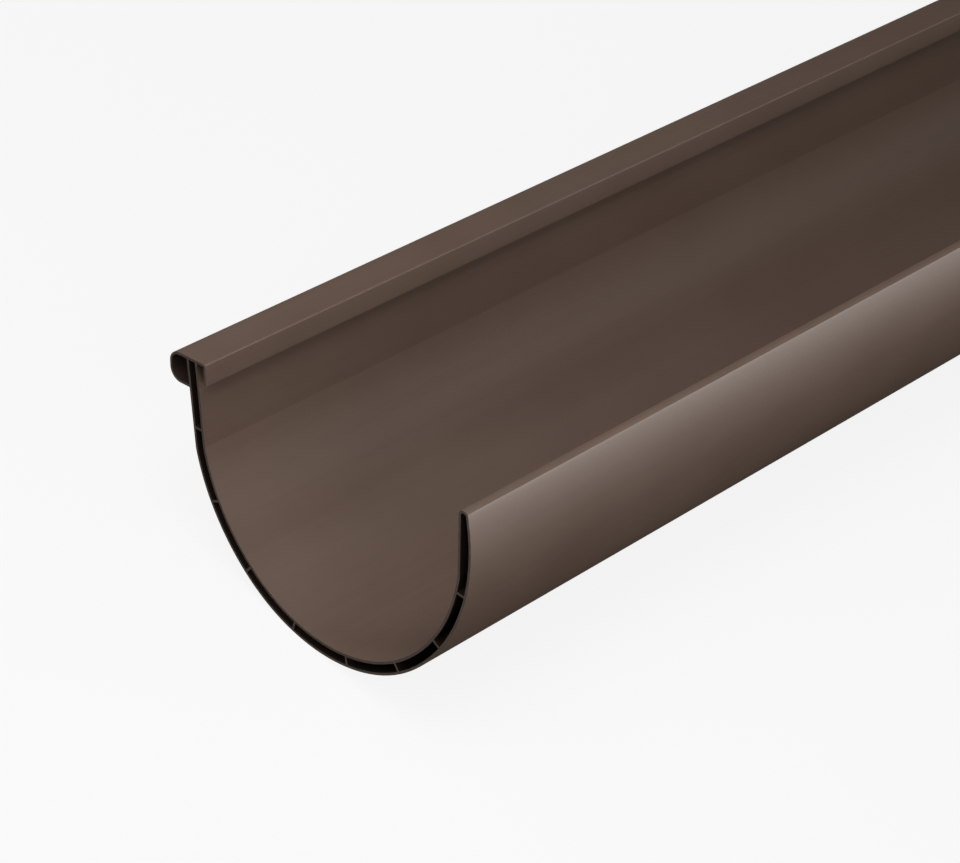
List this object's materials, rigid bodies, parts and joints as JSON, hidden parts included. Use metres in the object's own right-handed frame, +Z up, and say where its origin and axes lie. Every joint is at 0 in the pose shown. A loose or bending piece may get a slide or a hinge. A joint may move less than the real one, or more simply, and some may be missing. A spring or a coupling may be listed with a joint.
{
  "type": "half-round rain gutter section",
  "caption": "Half-round rain gutter of extruded twin-wall plastic, with a hollow front bead, a hook groove under its flange and a slanted rear tip.",
  "frame": {"origin": "on the near cut end, on the line on which the gutter lies on level ground", "axes": "+Y along the gutter to its far end, +Z up, +X across it to the side of the rear wall; the section is turned 15.4 degrees about Y from its fitted position, bead side down, as it comes to rest lying free"},
  "size_m": [0.1486, 2, 0.105],
  "materials": {
    "brown_plastic": "smooth extruded surface with a satin sheen"
  },
  "bodies": {
    "root": {"gutter_profile": "brown_plastic"}
  },
  "joints": []
}
